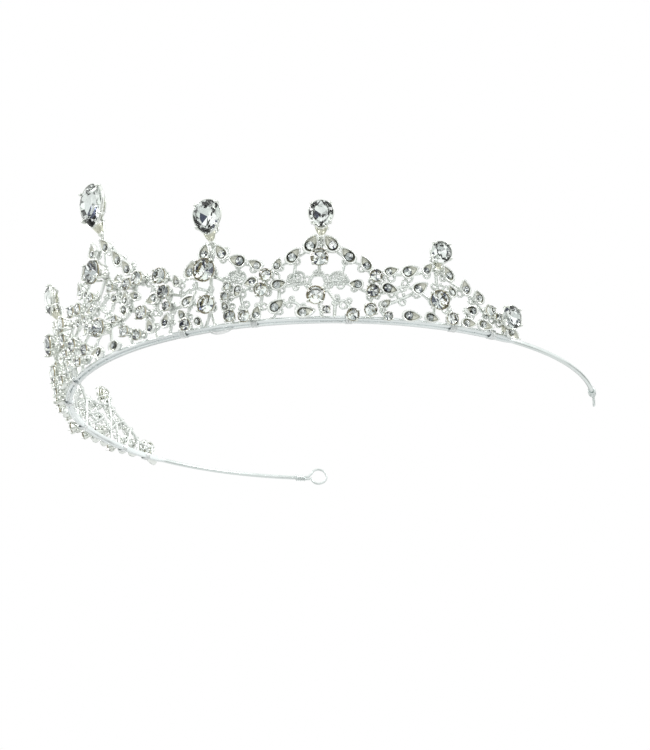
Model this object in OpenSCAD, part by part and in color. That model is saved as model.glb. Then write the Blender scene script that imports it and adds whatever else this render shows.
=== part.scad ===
// Bridal tiara: wire headband with nine jewelled peaks on an openwork scroll panel.
// Millimetres, +Z up, front faces -Y, hair loops and lowest stone cups stand on Z = 0.
// Angles run round the headband from the front centre, positive toward +X.

/* [Headband] */
// Radius of the headband's centre line
band_radius = 70; // [66:0.5:76]
// Half of the angle that the headband runs round the head
band_half_angle = 125; // [112:1:132]
// Height of the flattened front strip of the headband
band_height = 1.6; // [1.4:0.1:2]
// Height of the headband's underside above the table
band_rise = 1.3; // [1.3:0.1:2]
// Thickness of the flattened strip
band_thick = 0.9; // [0.8:0.1:1.2]
// Diameter of the round wire at the two rear ends
end_wire_d = 1.2; // [1.1:0.1:1.4]
// Diameter of the fine binding wire
bind_wire_d = 0.3; // [0.3:0.1:0.5]

/* [Hair loops] */
// Inner radius of each hair loop
eye_r = 2; // [1.8:0.1:2.2]
// Wire size of each hair loop
eye_wire = 0.7; // [0.6:0.1:0.9]

/* [Panel] */
// Outward lean of the jewelled panel from the vertical, in degrees
panel_lean = 8; // [4:1:12]
// Diameter of the scroll wires
scroll_wire_d = 0.9; // [0.8:0.05:1]
// Diameter of the base rail wire
rail_wire_d = 1; // [0.9:0.1:1.2]

/* [Stones] */
// Length of the centre pear stone
centre_stone_l = 11; // [9:0.2:12]
// Width of the centre pear stone
centre_stone_w = 9.4; // [8:0.1:10]
// Height of the centre stone's middle above the headband's underside
centre_stone_z = 37.9; // [37.5:0.1:38.5]
// Diameter of the small stone in each leaf
leaf_stone_d = 1.7; // [1.4:0.1:1.9]

/* [Hidden] */
silver = [0.80, 0.81, 0.82];
shade = [0.72, 0.73, 0.75];
crystal = [0.90, 0.93, 0.97, 0.8];
base_z = band_rise;
strip_half_angle = 84;                      // flattened stretch of the headband
rail_z = base_z + 0.8;
rail_r = band_radius + band_thick / 2 + rail_wire_d / 2 - 0.02;
wire_r = scroll_wire_d / 2;
pad_r = wire_r + 0.13;
pad_h = scroll_wire_d + 0.12;
seat = pad_h / 2 - 0.01;                    // settings start this far in front of the wires
cup_wall = 0.22;
prong_turns = [58, 138, 222, 302];
snug = 0.02;
leaf_h = 1.8;
leaf_p = 0.7;
leaf_k = 0.8214;
half_tail = 1.6;                            // half length of a hair loop's wound tail
loop_reach = half_tail + 1.7 + eye_r + eye_wire;
eye_lift = eye_r + eye_wire - rail_z;       // the loops stand on the table
loop_angle = band_half_angle - half_tail / band_radius * 180 / PI;
rear_y = -band_radius * cos(loop_angle) + (loop_reach + eye_r + eye_wire) * sin(loop_angle) + 0.25;
mid_y = (rail_r + (centre_stone_z - 0.8) * tan(panel_lean) + 5.2 - rear_y) / 2;

// Stem and vine wires of each section: chains of [angle, height] points.
centre_posts = [
    [[0, 1], [0, 7.7], [0, 10.9]],
    [[0, 15.1], [0, 20.9], [0, 27.8], [0, 34.8]]
];
centre_vines = [
    [[0, 27.8], [2, 26.8], [5.4, 22.4], [7.8, 19.5], [10.9, 15.5]],
    [[0, 20.9], [3.2, 15.9], [5.1, 16.8], [8.2, 15.2], [10.9, 15.5]],
    [[1.6, 13], [4.2, 13.4], [7, 12.4], [8.2, 15.2]],
    [[0, 7.7], [3.7, 7.6], [6.5, 9.4], [7, 12.4]],
    [[3.7, 7.6], [6.6, 3.9], [9.8, 2.2]],
    [[6.5, 9.4], [11.4, 6.9], [12.8, 3.3]],
    [[6.6, 3.9], [6, 1]],
    [[12.8, 3.3], [13, 1]]
];
first_vines = [
    [[26, 1], [25.3, 5.2], [25.6, 13.1], [26.2, 19.2], [26.2, 23.4]],
    [[11.8, 15.4], [16.1, 14.3], [19, 12.6], [22.6, 14.2], [25.6, 13.1]],
    [[12.6, 12.4], [16.6, 10.5], [19.5, 9.6], [21.9, 10.6], [25.4, 9]],
    [[16.6, 10.5], [13.8, 9.5], [13.6, 6.6]],
    [[16.6, 10.5], [17.2, 7.1], [21.2, 7], [25.3, 5.2]],
    [[17.2, 7.1], [16.6, 3.8], [16, 1]],
    [[21.2, 7], [20.2, 4.1], [21, 1]],
    [[26.2, 19.2], [25.2, 17.6]],
    [[26.2, 19.2], [28.3, 17.1], [31.3, 14.8], [34.5, 13.5], [36.4, 10.7]],
    [[25.6, 13.1], [28.6, 10.9], [30.5, 11.8], [33.6, 9.3], [35.4, 7.3]],
    [[28.6, 10.9], [29.2, 9.2], [28.8, 6.9], [28.9, 4.5], [29.6, 1]],
    [[29.2, 9.2], [31, 8], [33.6, 9.3]],
    [[36.4, 10.7], [35.4, 7.3], [34.9, 4.4], [34.3, 1]],
    [[31.3, 14.8], [30.5, 11.8]],
    [[24, 1], [25.3, 5.2]],
    [[31, 8], [31.6, 4.6], [32.4, 1]]
];
second_vines = [
    [[46.2, 1], [45.5, 5.2], [45.5, 7]],
    [[45.6, 10.9], [45.9, 13.9], [46.2, 18.1], [46.2, 22.1]],
    [[46.2, 18.1], [44.6, 17.2], [41.6, 14.8], [38.5, 13], [37.2, 11.1]],
    [[46.2, 18.1], [47.8, 17.2], [50.5, 14.6], [53.8, 12.7], [55.6, 10]],
    [[36.3, 7.9], [38.5, 8.3], [41.4, 8.6], [43.9, 8.9]],
    [[38.5, 8.3], [38.1, 3.2], [36.8, 1]],
    [[38.1, 3.2], [40.5, 4.8], [42.4, 3.4], [43.6, 1]],
    [[41.6, 14.8], [41.2, 10.2]],
    [[47, 9], [49.4, 9.2], [52.2, 8], [55.2, 6.4]],
    [[50.5, 14.6], [49.6, 10.2]],
    [[46.9, 8], [48.6, 4.9], [50.6, 4.4], [52, 1]],
    [[55.6, 10], [55.2, 6.4], [54.8, 1]],
    [[48.6, 4.9], [48.4, 1]]
];
third_vines = [
    [[67, 1], [67, 5.4], [67.4, 9.2], [67, 13.6], [67.3, 15.5]],
    [[56.4, 10.4], [58.3, 11.2], [61.8, 11.5], [65, 12.5], [67, 13.6]],
    [[56, 6.6], [58.4, 7.2], [61, 8.6], [63.8, 7.9], [67, 5.4]],
    [[58, 1], [57, 3.4], [60.5, 5.6], [63.8, 7.9]],
    [[67, 13.6], [68.8, 12.1], [72.2, 9.6], [74.9, 7.9], [77.4, 5.2], [79.6, 4.4]],
    [[67, 5.4], [69.4, 8], [72.2, 9.6]],
    [[69.4, 8], [69.9, 4.4], [69.8, 1]],
    [[74.9, 7.9], [73.9, 4.5], [72.6, 1]],
    [[77.4, 5.2], [76.9, 1]]
];
fourth_vines = [
    [[82, 1], [82, 4.4]],
    [[80.6, 4.2], [82, 4.4]],
    [[82, 1], [83.6, 1]]
];

// Openwork rings and lace petals: [angle, height, radius] and [angle, height, length, width, turn].
centre_rings = [
    [0, 13, 2]
];
second_rings = [
    [45.5, 8.95, 1.9]
];
first_petals = [
    [30.6, 11.6, 4.8, 3.4, 150]
];
second_petals = [
    [41.5, 10, 4.6, 3.2, 190], [49.4, 9.7, 4.6, 3.2, -10]
];

// Round stones: [angle, height, diameter].
centre_rounds_mid = [
    [0, 20.9, 6], [0, 7, 4.8]
];
centre_rounds = [
    [10.9, 15.5, 3.2], [8.1, 15, 2.8], [3.2, 15.9, 2], [11.4, 7, 3.3], [6.6, 4, 2.8],
    [9.8, 2.2, 2.7], [3.7, 7.9, 1.9]
];
first_rounds = [
    [16.2, 14.4, 3.8], [16.8, 10.4, 3.3], [17, 7.1, 2.2], [25.7, 13.2, 5.6], [25.6, 5.3, 4.4],
    [20.9, 1.7, 2.8], [28.8, 6.9, 1.9], [29.3, 9.2, 1.7], [29.7, 2.1, 2.8], [32.4, 1.6, 2.8],
    [36.5, 10.7, 2.9], [35.6, 7.3, 3.2]
];
second_rounds = [
    [45.9, 14, 4.1], [45.2, 5.3, 4.3], [47, 2.2, 1.8], [55.6, 10, 2.9], [55.1, 6.5, 3],
    [54.7, 2.2, 3], [51.6, 0.95, 3]
];
third_rounds = [
    [66.9, 5.5, 4.7], [69.7, 1.8, 2.9], [77.4, 5.2, 2.6], [57.9, 1, 2.1], [79.5, 4.3, 1.7]
];

// Leaf cups: [angle, height, length, width, turn of the tip from the rail's direction].
centre_leaves = [
    [2, 27, 4.4, 2.7, 118], [5.2, 22.6, 4.6, 2.8, 115], [7.6, 19.5, 4.2, 2.6, 112],
    [5.2, 17.4, 2.8, 1.9, 200], [4.1, 13, 3.6, 2.3, -20], [6.8, 12, 3.5, 2.3, 70],
    [6.4, 9.2, 3.3, 2.2, -60], [12.7, 3.5, 3.5, 2.3, 90], [3, 1.9, 4.8, 2.7, 0],
    [9.4, 11.9, 3.2, 2.1, 150]
];
first_leaves = [
    [13.6, 9.8, 3.8, 2.6, 190], [16.4, 3.8, 3.6, 2.3, 60], [19.2, 12.6, 2.9, 2, 100],
    [22.4, 14.4, 4.8, 3.1, 55], [21.3, 7.2, 4, 2.5, 20], [19.9, 4.4, 2.6, 1.9, 120],
    [23.3, 1.9, 3, 1.9, -50], [25.2, 17.9, 4, 2.7, 62], [28.2, 17.3, 4, 2.7, 122],
    [31.3, 14.9, 4.3, 3, 158], [34.5, 13.4, 3.6, 2.3, 145], [33.6, 9.3, 3.4, 2.3, 205],
    [31.2, 7.8, 3.2, 2.1, 250], [28.7, 4.7, 2.4, 1.8, 100], [34.6, 2.2, 3.4, 2.2, 70]
];
second_leaves = [
    [38.5, 13.1, 3.1, 2, 60], [38.7, 8.3, 3.8, 2.5, 0], [38.2, 3.6, 4.3, 2.8, 35],
    [41.4, 14.9, 4.5, 2.9, 48], [44.5, 17.5, 4.7, 3.2, 55], [47.9, 17.5, 4.7, 3.2, 125],
    [50.7, 14.8, 4.5, 2.9, 130], [53.8, 12.8, 3.9, 2.4, 125], [52.2, 8.1, 3.4, 2.3, 180],
    [43.3, 1.7, 4.6, 2.6, 0]
];
third_leaves = [
    [58.3, 11.4, 3.5, 2.2, 20], [58.2, 7.4, 4, 2.6, -20], [57.4, 4, 2.8, 1.9, 40],
    [61.7, 11.8, 4.3, 2.9, 20], [63.7, 8.1, 4, 2.7, 30], [64.9, 12.7, 3.2, 2.1, 60],
    [68.8, 12.3, 4.2, 2.4, 128], [69.6, 8.3, 3, 2.1, 120], [72.3, 9.7, 3.8, 2.5, 110],
    [75.1, 8.1, 3.6, 2.3, 130], [73.8, 4.6, 3.3, 2.3, 180], [62.2, 1.6, 4.4, 2.6, 0],
    [66, 1.5, 3.4, 2.3, -12], [73.3, 1.5, 3.6, 2.3, 0], [76.8, 1.7, 4, 2.4, -14]
];
fourth_leaves = [
    [83.2, 1.4, 4, 2.4, -32]
];

// Peak stones: [angle, height, length, width, pointedness, outline factor, seat height].
centre_peak = [0, centre_stone_z, centre_stone_l, centre_stone_w, 0.45, 0.877, 2.6];
first_peak = [26.2, 25.9, 8.2, 6.9, 0.45, 0.877, 2.4];
second_peak = [46.2, 24.1, 6.6, 5.6, 0.45, 0.877, 2];
third_peak = [67.3, 17, 5, 5, 0, 1, 1.9];
fourth_peak = [82, 4.8, 5.4, 5.4, 0, 1, 2.6];

wrap_angles = [-79.5, -70.9, -51, -33.5, -19, 19, 33.5, 51, 70.9, 79.5];

function panel_r(z) = rail_r + (z - 0.8) * tan(panel_lean);
function spot(t, z) = [panel_r(z) * sin(t), -panel_r(z) * cos(t), z + base_z];
function drop(l, w, p, k) = [for (a = [0:20:340])
    [l / 2 * cos(a), w / 2 / k * sin(a) * (p == 0 ? 1 : pow(sin(a / 2), p))]];

function rim_point(l, w, p, k, a) =
    [l / 2 * cos(a), w / 2 / k * sin(a) * (p == 0 ? 1 : pow(abs(sin(a / 2)), p))];

// Puts the middle of the whole tiara, front to back, over the origin.
module centred() {
    translate([0, mid_y, 0]) children();
}

module place(t, z, out = 0) {
    rotate([0, 0, t]) translate([0, -panel_r(z), z + base_z])
        rotate([90 + panel_lean, 0, 0]) translate([0, 0, out]) children();
}

module rod(a, b, r, sides = 24) {
    d = b - a;
    translate(a) rotate([0, acos(d[2] / norm(d)), atan2(d[1], d[0])])
        cylinder(h = norm(d), r = r, $fn = sides);
}

function mirrored(paths) = [for (v = paths) [for (p = v) [-p[0], p[1]]]];

// A wire runs straight from pad to pad, and ends inside them. Each pad is a solder seat.
module vine(path) {
    spots = [for (p = path) spot(p[0], p[1])];
    for (i = [0:len(path) - 2]) {
        step = (spots[i + 1] - spots[i]) / norm(spots[i + 1] - spots[i]) * 0.2;
        rod(spots[i] + step, spots[i + 1] - step, wire_r, 8);
    }
    for (p = path) place(p[0], p[1], -pad_h / 2) cylinder(h = pad_h, r = pad_r, $fn = 24);
}

module ring(t, z, r) {
    place(t, z, 0.08) rotate_extrude($fn = 48) translate([r, 0]) circle(r = wire_r + 0.03, $fn = 24);
}

module petal(t, z, l, w, turn) {
    place(t, z, -0.31) rotate([0, 0, turn]) linear_extrude(height = 0.88) difference() {
        polygon(drop(l, w, 1, 0.77));
        translate([-l * 0.07, 0]) polygon(drop(l * 0.56, w * 0.5, 1, 0.77));
    }
}

module scroll(paths, rings, petals) {
    color(silver) {
        for (v = paths) vine(v);
        for (r = rings) ring(r[0], r[1], r[2]);
        for (p = petals) petal(p[0], p[1], p[2], p[3], p[4]);
    }
}

// Round stone cup: tapered wall with a cone seat and four prongs.
function cup_h(d) = 0.45 * d + 1.3;

module round_stone(t, z, d) {
    place(t, z, seat + cup_h(d)) {
        translate([0, 0, -0.36 * d]) cylinder(h = 0.36 * d, r1 = 0.08, r2 = d / 2, $fn = 32);
        cylinder(h = 0.16 * d, r1 = d / 2, r2 = 0.28 * d, $fn = 32);
    }
}

module stone_cup(t, z, d) {
    h = cup_h(d);
    place(t, z, seat) difference() {
        union() {
            cylinder(h = h, r1 = 0.38 * d, r2 = d / 2 + cup_wall, $fn = 32);
            for (a = [45:90:315]) rotate([0, 0, a]) translate([d / 2 + 0.25, 0, h * 0.35])
                cylinder(h = h * 0.65 + 0.1 * d + 0.15, r = 0.23, $fn = 16);
        }
        translate([0, 0, h - 0.36 * d]) cylinder(h = 0.36 * d + 0.01, r1 = 0.1, r2 = d / 2 + snug, $fn = 32);
        translate([0, 0, h]) cylinder(h = d, r = d / 2 + 0.01, $fn = 32);
    }
}

// Space kept clear of neighbouring leaves for a round cup.
module cup_room(t, z, d) {
    place(t, z, seat - 0.5) cylinder(h = d + 2, r = d / 2 + 0.5, $fn = 32);
}

module leaf_body(t, z, l, w, turn) {
    place(t, z, seat) rotate([0, 0, turn]) linear_extrude(height = leaf_h, scale = 1.25)
        polygon(drop(l * 0.8, w * 0.8, leaf_p, leaf_k));
}

module leaf_room(t, z, l, w, turn) {
    place(t, z, seat + leaf_h - 0.45) rotate([0, 0, turn]) translate([-l * 0.02, 0])
        linear_extrude(height = 1.2) polygon(drop(l * 0.8, w * 0.76, leaf_p, leaf_k));
}

module leaf_stone(t, z, l, w, turn) {
    d = min(leaf_stone_d, w * 0.62);
    place(t, z, seat + leaf_h - 0.45) rotate([0, 0, turn]) translate([-l * 0.12, 0, 0]) {
        cylinder(h = 0.4, r = d / 2, $fn = 24);
        translate([0, 0, 0.4]) cylinder(h = 0.25, r1 = d / 2, r2 = d * 0.3, $fn = 24);
    }
}

module stone_cups(rounds) {
    color(silver) for (s = rounds) stone_cup(s[0], s[1], s[2]);
}

module leaf_cups(leaves, rounds) {
    color(shade) difference() {
        for (f = leaves) leaf_body(f[0], f[1], f[2], f[3], f[4]);
        for (f = leaves) leaf_room(f[0], f[1], f[2], f[3], f[4]);
        for (s = concat(rounds, necks)) cup_room(s[0], s[1], s[2]);
    }
}

// Spots where the flared necks come down between leaves.
necks = [[0, 30.9, 0.8], [26.2, 20.3, 0.8], [46.2, 19.3, 0.8], [67.3, 13.0, 0.8]];

module stones(rounds, leaves) {
    color(crystal) {
        for (s = rounds) round_stone(s[0], s[1], s[2]);
        for (f = leaves) leaf_stone(f[0], f[1], f[2], f[3], f[4]);
    }
}

// Peak: a drop or round stone, point down, in an open four-prong basket.
module peak_stone(p) {
    color(crystal) place(p[0], p[1], seat + p[6]) rotate([0, 0, -90]) {
        linear_extrude(height = 0.3) polygon(drop(p[2], p[3], p[4], p[5]));
        translate([0, 0, 0.3]) linear_extrude(height = 0.14 * p[3], scale = 0.66)
            polygon(drop(p[2], p[3], p[4], p[5]));
        translate([0, 0, -0.18 * p[3]]) linear_extrude(height = 0.18 * p[3])
            polygon(drop(p[2] * 0.62, p[3] * 0.62, p[4], p[5]));
    }
}

module peak_cup(p) {
    l = p[2];
    w = p[3];
    seat_z = p[6] - 0.18 * w - 0.02;
    color(silver) place(p[0], p[1], seat) rotate([0, 0, -90]) {
        linear_extrude(height = seat_z) difference() {
            polygon(drop(l * 0.74, w * 0.74, p[4], p[5]));
            polygon(drop(l * 0.44, w * 0.44, p[4], p[5]));
        }
        linear_extrude(height = 0.3) polygon(drop(l * 0.5, w * 0.5, p[4], p[5]));
        translate([0, 0, p[6] - 0.6]) linear_extrude(height = 0.85) difference() {
            polygon(drop(l + 0.7, w + 0.7, p[4], p[5]));
            polygon(drop(l + 0.08, w + 0.08, p[4], p[5]));
        }
        for (a = prong_turns) {
            q = rim_point(l, w, p[4], p[5], a);
            tip = q + q / norm(q) * 0.36;
            rod([q[0] * 0.66, q[1] * 0.66, 0.35], [tip[0], tip[1], seat_z], 0.35);
            rod([tip[0], tip[1], seat_z - 0.3], [tip[0], tip[1], p[6] + 0.6], 0.3);
            translate([tip[0], tip[1], p[6] + 0.8] - [q[0], q[1], 0] / norm(q) * 0.14)
                sphere(r = 0.45, $fn = 24);
        }
        if (p[1] > 10) collar(l / 2, p[6], p[4] == 0 ? 0.9 : 1.5);
    }
}

// Flared neck between the stem and the lower end of a peak's rim.
module collar(edge, lift, r) {
    difference() {
        union() {
            hull() {
                translate([edge - 0.7, 0, lift - 1.7]) rotate([0, 72, 0])
                    cylinder(h = 0.4, r = r, center = true, $fn = 24);
                translate([edge + 1.5, 0, 0]) rotate([0, 72, 0])
                    cylinder(h = 0.4, r = 0.65, center = true, $fn = 24);
            }
            translate([edge + 1.5, 0, 0.1]) rotate([0, 72, 0])
                cylinder(h = 0.5, r = 0.85, center = true, $fn = 24);
        }
        translate([edge - 10, -10, -20]) cube([20, 20, 20]);
    }
}

module headband() {
    centred() color(silver) {
        rotate([0, 0, -90 - strip_half_angle]) rotate_extrude(angle = 2 * strip_half_angle, $fn = 360)
            translate([band_radius - band_thick / 2, base_z]) square([band_thick, band_height]);
        for (s = [-1, 1]) rotate([0, 0, -90 + (s > 0 ? strip_half_angle - 0.5 : -band_half_angle)])
            rotate_extrude(angle = band_half_angle - strip_half_angle + 0.5, $fn = 360)
                translate([band_radius, rail_z]) circle(r = end_wire_d / 2, $fn = 32);
        for (s = [-1, 1]) rotate([0, 0, s * strip_half_angle]) translate([-1, -band_radius, rail_z])
            rotate([0, 90, 0]) cylinder(h = 2, r = 0.95, $fn = 32);
    }
}

// Loop of wire bent back on itself at a rear end, its tail wound round the headband.
module hair_loop() {
    grip_r = end_wire_d / 2;
    rotate([0, 0, loop_angle]) translate([0, -band_radius, rail_z]) {
        rotate([0, 90, 0]) difference() {
            union() {
                translate([0, 0, -half_tail])
                    cylinder(h = 2 * half_tail + 0.9, r = grip_r + 0.25, $fn = 32);
                for (x = [-1.5:0.75:1.5]) translate([0, 0, x - 0.24])
                    cylinder(h = 0.48, r = grip_r + 0.4, $fn = 32);
            }
            translate([0, 0, -half_tail - 1])
                cylinder(h = 2 * half_tail + 1.05, r = grip_r + 0.03, $fn = 32);
        }
        difference() {
            union() {
                translate([loop_reach, 0, eye_lift]) rotate([90, 0, 0])
                    cylinder(h = eye_wire, r = eye_r + eye_wire, center = true, $fn = 64);
                rod([half_tail + 0.5, 0, 0], [loop_reach - eye_r - 0.2, 0, eye_lift], 0.38);
            }
            translate([loop_reach, 0, eye_lift]) rotate([90, 0, 0])
                cylinder(h = 3, r = eye_r, center = true, $fn = 64);
        }
    }
}

module right_hair_loop() {
    centred() color(silver) hair_loop();
}

module left_hair_loop() {
    centred() color(silver) mirror([1, 0, 0]) hair_loop();
}

module base_rail() {
    centred() color(silver) rotate([0, 0, -90 - strip_half_angle])
        rotate_extrude(angle = 2 * strip_half_angle, $fn = 360)
            translate([rail_r, rail_z]) circle(r = rail_wire_d / 2, $fn = 32);
}

module binding_wraps() {
    inner = band_radius - band_thick / 2 - 0.01;
    outer = rail_r + rail_wire_d / 2 + 0.01;
    centred() color(silver) for (t = wrap_angles, k = [-2:2])
        rotate([0, 0, t + k * 0.27]) translate([bind_wire_d / 2, 0, 0]) rotate([0, -90, 0])
            linear_extrude(height = bind_wire_d) difference() {
                translate([base_z - bind_wire_d, -outer - bind_wire_d])
                    square([band_height + 2 * bind_wire_d, outer - inner + 2 * bind_wire_d]);
                translate([base_z - 0.01, -outer]) square([band_height + 0.02, outer - inner]);
            }
}

module centre_scrollwork() {
    centred() scroll(concat(centre_posts, centre_vines, mirrored(centre_vines)), centre_rings, []);
}

module centre_stone_cups() {
    centred() stone_cups(centre_rounds_mid);
    centred() stone_cups(centre_rounds);
    centred() mirror([1, 0, 0]) stone_cups(centre_rounds);
}

module centre_leaf_cups() {
    centred() leaf_cups(centre_leaves, concat(centre_rounds, centre_rounds_mid));
    centred() mirror([1, 0, 0]) leaf_cups(centre_leaves, concat(centre_rounds, centre_rounds_mid));
}

module centre_round_stones() {
    centred() stones(centre_rounds_mid, []);
    centred() stones(centre_rounds, centre_leaves);
    centred() mirror([1, 0, 0]) stones(centre_rounds, centre_leaves);
}

module centre_peak_cup() {
    centred() peak_cup(centre_peak);
}

module centre_peak_stone() {
    centred() peak_stone(centre_peak);
}

module right_first_scrollwork() {
    centred() scroll(first_vines, [], first_petals);
}

module right_first_stone_cups() {
    centred() stone_cups(first_rounds);
}

module right_first_leaf_cups() {
    centred() leaf_cups(first_leaves, first_rounds);
}

module right_first_round_stones() {
    centred() stones(first_rounds, first_leaves);
}

module right_first_peak_cup() {
    centred() peak_cup(first_peak);
}

module right_first_peak_stone() {
    centred() peak_stone(first_peak);
}

module right_second_scrollwork() {
    centred() scroll(second_vines, second_rings, second_petals);
}

module right_second_stone_cups() {
    centred() stone_cups(second_rounds);
}

module right_second_leaf_cups() {
    centred() leaf_cups(second_leaves, second_rounds);
}

module right_second_round_stones() {
    centred() stones(second_rounds, second_leaves);
}

module right_second_peak_cup() {
    centred() peak_cup(second_peak);
}

module right_second_peak_stone() {
    centred() peak_stone(second_peak);
}

module right_third_scrollwork() {
    centred() scroll(third_vines, [], []);
}

module right_third_stone_cups() {
    centred() stone_cups(third_rounds);
}

module right_third_leaf_cups() {
    centred() leaf_cups(third_leaves, third_rounds);
}

module right_third_round_stones() {
    centred() stones(third_rounds, third_leaves);
}

module right_third_peak_cup() {
    centred() peak_cup(third_peak);
}

module right_third_peak_stone() {
    centred() peak_stone(third_peak);
}

module right_fourth_scrollwork() {
    centred() scroll(fourth_vines, [], []);
}

module right_fourth_leaf_cup() {
    centred() leaf_cups(fourth_leaves, []);
}

module right_fourth_leaf_stone() {
    centred() stones([], fourth_leaves);
}

module right_fourth_peak_cup() {
    centred() peak_cup(fourth_peak);
}

module right_fourth_peak_stone() {
    centred() peak_stone(fourth_peak);
}

module left_first_scrollwork() {
    centred() mirror([1, 0, 0]) scroll(first_vines, [], first_petals);
}

module left_first_stone_cups() {
    centred() mirror([1, 0, 0]) stone_cups(first_rounds);
}

module left_first_leaf_cups() {
    centred() mirror([1, 0, 0]) leaf_cups(first_leaves, first_rounds);
}

module left_first_round_stones() {
    centred() mirror([1, 0, 0]) stones(first_rounds, first_leaves);
}

module left_first_peak_cup() {
    centred() mirror([1, 0, 0]) peak_cup(first_peak);
}

module left_first_peak_stone() {
    centred() mirror([1, 0, 0]) peak_stone(first_peak);
}

module left_second_scrollwork() {
    centred() mirror([1, 0, 0]) scroll(second_vines, second_rings, second_petals);
}

module left_second_stone_cups() {
    centred() mirror([1, 0, 0]) stone_cups(second_rounds);
}

module left_second_leaf_cups() {
    centred() mirror([1, 0, 0]) leaf_cups(second_leaves, second_rounds);
}

module left_second_round_stones() {
    centred() mirror([1, 0, 0]) stones(second_rounds, second_leaves);
}

module left_second_peak_cup() {
    centred() mirror([1, 0, 0]) peak_cup(second_peak);
}

module left_second_peak_stone() {
    centred() mirror([1, 0, 0]) peak_stone(second_peak);
}

module left_third_scrollwork() {
    centred() mirror([1, 0, 0]) scroll(third_vines, [], []);
}

module left_third_stone_cups() {
    centred() mirror([1, 0, 0]) stone_cups(third_rounds);
}

module left_third_leaf_cups() {
    centred() mirror([1, 0, 0]) leaf_cups(third_leaves, third_rounds);
}

module left_third_round_stones() {
    centred() mirror([1, 0, 0]) stones(third_rounds, third_leaves);
}

module left_third_peak_cup() {
    centred() mirror([1, 0, 0]) peak_cup(third_peak);
}

module left_third_peak_stone() {
    centred() mirror([1, 0, 0]) peak_stone(third_peak);
}

module left_fourth_scrollwork() {
    centred() mirror([1, 0, 0]) scroll(fourth_vines, [], []);
}

module left_fourth_leaf_cup() {
    centred() mirror([1, 0, 0]) leaf_cups(fourth_leaves, []);
}

module left_fourth_leaf_stone() {
    centred() mirror([1, 0, 0]) stones([], fourth_leaves);
}

module left_fourth_peak_cup() {
    centred() mirror([1, 0, 0]) peak_cup(fourth_peak);
}

module left_fourth_peak_stone() {
    centred() mirror([1, 0, 0]) peak_stone(fourth_peak);
}

headband();
right_hair_loop();
left_hair_loop();
base_rail();
binding_wraps();
centre_scrollwork();
centre_stone_cups();
centre_leaf_cups();
centre_round_stones();
centre_peak_cup();
centre_peak_stone();
right_first_scrollwork();
right_first_stone_cups();
right_first_leaf_cups();
right_first_round_stones();
right_first_peak_cup();
right_first_peak_stone();
right_second_scrollwork();
right_second_stone_cups();
right_second_leaf_cups();
right_second_round_stones();
right_second_peak_cup();
right_second_peak_stone();
right_third_scrollwork();
right_third_stone_cups();
right_third_leaf_cups();
right_third_round_stones();
right_third_peak_cup();
right_third_peak_stone();
right_fourth_scrollwork();
right_fourth_leaf_cup();
right_fourth_leaf_stone();
right_fourth_peak_cup();
right_fourth_peak_stone();
left_first_scrollwork();
left_first_stone_cups();
left_first_leaf_cups();
left_first_round_stones();
left_first_peak_cup();
left_first_peak_stone();
left_second_scrollwork();
left_second_stone_cups();
left_second_leaf_cups();
left_second_round_stones();
left_second_peak_cup();
left_second_peak_stone();
left_third_scrollwork();
left_third_stone_cups();
left_third_leaf_cups();
left_third_round_stones();
left_third_peak_cup();
left_third_peak_stone();
left_fourth_scrollwork();
left_fourth_leaf_cup();
left_fourth_leaf_stone();
left_fourth_peak_cup();
left_fourth_peak_stone();
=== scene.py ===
import math

import bpy
from mathutils import Matrix, Vector


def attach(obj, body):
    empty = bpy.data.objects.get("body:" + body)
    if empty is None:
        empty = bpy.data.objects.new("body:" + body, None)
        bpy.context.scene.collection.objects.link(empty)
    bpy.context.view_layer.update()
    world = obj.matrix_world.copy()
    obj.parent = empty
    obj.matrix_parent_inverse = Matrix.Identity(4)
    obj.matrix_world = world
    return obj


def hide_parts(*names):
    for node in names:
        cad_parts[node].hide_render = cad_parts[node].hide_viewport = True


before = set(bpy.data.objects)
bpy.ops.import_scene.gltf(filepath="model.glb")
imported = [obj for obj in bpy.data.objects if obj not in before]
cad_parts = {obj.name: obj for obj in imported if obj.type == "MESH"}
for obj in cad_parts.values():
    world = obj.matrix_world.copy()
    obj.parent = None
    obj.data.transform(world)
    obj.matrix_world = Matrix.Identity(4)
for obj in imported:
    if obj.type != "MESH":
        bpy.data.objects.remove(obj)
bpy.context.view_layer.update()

MM = 0.001

# ---------------------------------------------------------------- dimensions, in millimetres and degrees
# headband: radius, half its arc, and half the arc where it is a flat strip
BAND_R, BAND_HALF, STRIP_HALF = 70.0, 125.0, 84.0
# height and thickness of the strip, and diameter of the round ends
BAND_H, BAND_T, END_D = 1.6, 0.9, 1.2
# height of the band's underside, and how far the panel leans outward
BASE_Z, LEAN = 1.3, 8.0
RAIL_D = 1.0
RAIL_R = BAND_R + BAND_T / 2 + RAIL_D / 2 - 0.02
# panel heights are counted from the band's underside, and the rail's middle is this high
RAIL_MID = 0.8
RAIL_Z = BASE_Z + RAIL_MID
WIRE_R = 0.42  # scroll wire
TIE_R = 0.16  # binding wire
SEAT = 0.50  # how far in front of the panel's wires the cups start
# hair loop: radius of its hole, its wire, and half the length of its wound tail
EYE_R, EYE_W, HALF_TAIL = 2.0, 0.7, 1.6
EYE_LIFT = EYE_R + EYE_W - RAIL_Z
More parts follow.
